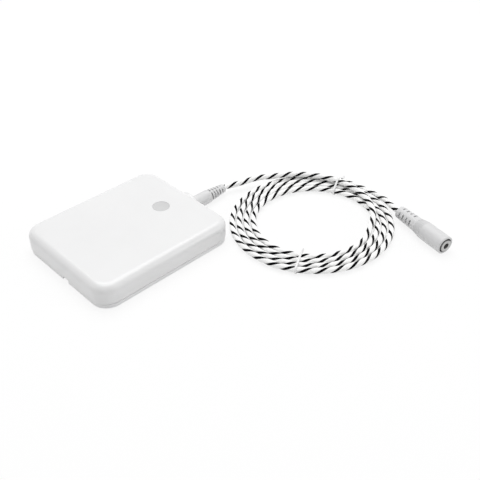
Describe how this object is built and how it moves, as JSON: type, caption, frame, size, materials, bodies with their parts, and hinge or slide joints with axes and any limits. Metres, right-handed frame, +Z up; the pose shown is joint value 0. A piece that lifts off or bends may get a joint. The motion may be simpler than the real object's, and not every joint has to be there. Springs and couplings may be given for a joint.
{
  "type": "water leak sensor",
  "caption": "Flat rounded battery box with a press button, and a coiled sensing rope that plugs into its side, feels water along the floor and ends in a moulded extension socket.",
  "frame": {"origin": "middle of the box's grip pad, on the floor that it lies on", "axes": "+Z up; +X along the plug, out of the box's side; the rope's coil lies towards -Y"},
  "size_m": [0.1849, 0.1689, 0.0144],
  "materials": {
    "cover_white": "satin",
    "base_white": "satin",
    "pad_grey": "matte",
    "button_white": "satin",
    "board_green": "satin",
    "black_plastic": "satin",
    "led_lens": "gloss",
    "shield_metal": "satin",
    "contact_gold": "polished",
    "cell_jacket": "satin",
    "spring_steel": "satin",
    "screw_steel": "satin",
    "grip_grey": "satin",
    "pin_nickel": "polished",
    "rope_yarn": "matte",
    "rope_black": "matte",
    "tie_white": "satin"
  },
  "bodies": {
    "base": {"base_plate": "base_white", "grip_pad": "pad_grey", "main_board": "board_green", "switch_body": "black_plastic", "status_led": "led_lens", "radio_module": "board_green", "radio_shield": "shield_metal", "sense_chip": "black_plastic", "jack_body": "black_plastic", "jack_contacts": "contact_gold", "battery_1": "cell_jacket", "battery_2": "cell_jacket", "battery_3": "cell_jacket", "battery_springs": "spring_steel", "battery_plates": "spring_steel", "board_screws": "screw_steel"},
    "cover": {"top_cover": "cover_white"},
    "button": {"status_button": "button_white"},
    "plunger": {"switch_plunger": "black_plastic"},
    "sensor_cable": {"plug_grip": "grip_grey", "plug_sleeve": "pin_nickel", "plug_insulator": "black_plastic", "plug_ring": "pin_nickel", "plug_tip": "pin_nickel", "rope_lead": "rope_yarn", "rope_coil": "rope_yarn", "rope_tail": "rope_yarn", "coil_tie_far": "tie_white", "coil_tie_near": "tie_white", "socket_grip": "grip_grey", "socket_insulator": "black_plastic", "socket_barrel": "pin_nickel", "socket_contact": "contact_gold"}
  },
  "joints": [
    {"name": "cover_lift", "type": "slide", "parent": "base", "child": "cover", "axis": [0, 0, 1], "range_m": [0, 0.03]},
    {"name": "button_press", "type": "slide", "parent": "cover", "child": "button", "axis": [0, 0, -1], "range_m": [0, 0.0004], "stiffness_N_per_m": 2000},
    {"name": "plunger_press", "type": "slide", "parent": "base", "child": "plunger", "axis": [0, 0, -1], "range_m": [0, 0.0004]},
    {"name": "plug_pull", "type": "slide", "parent": "base", "child": "sensor_cable", "axis": [1, 0, 0], "range_m": [0, 0.02]}
  ],
  "couplings": [
    {"joint": "plunger_press", "follows": "button_press", "ratio": 1}
  ]
}
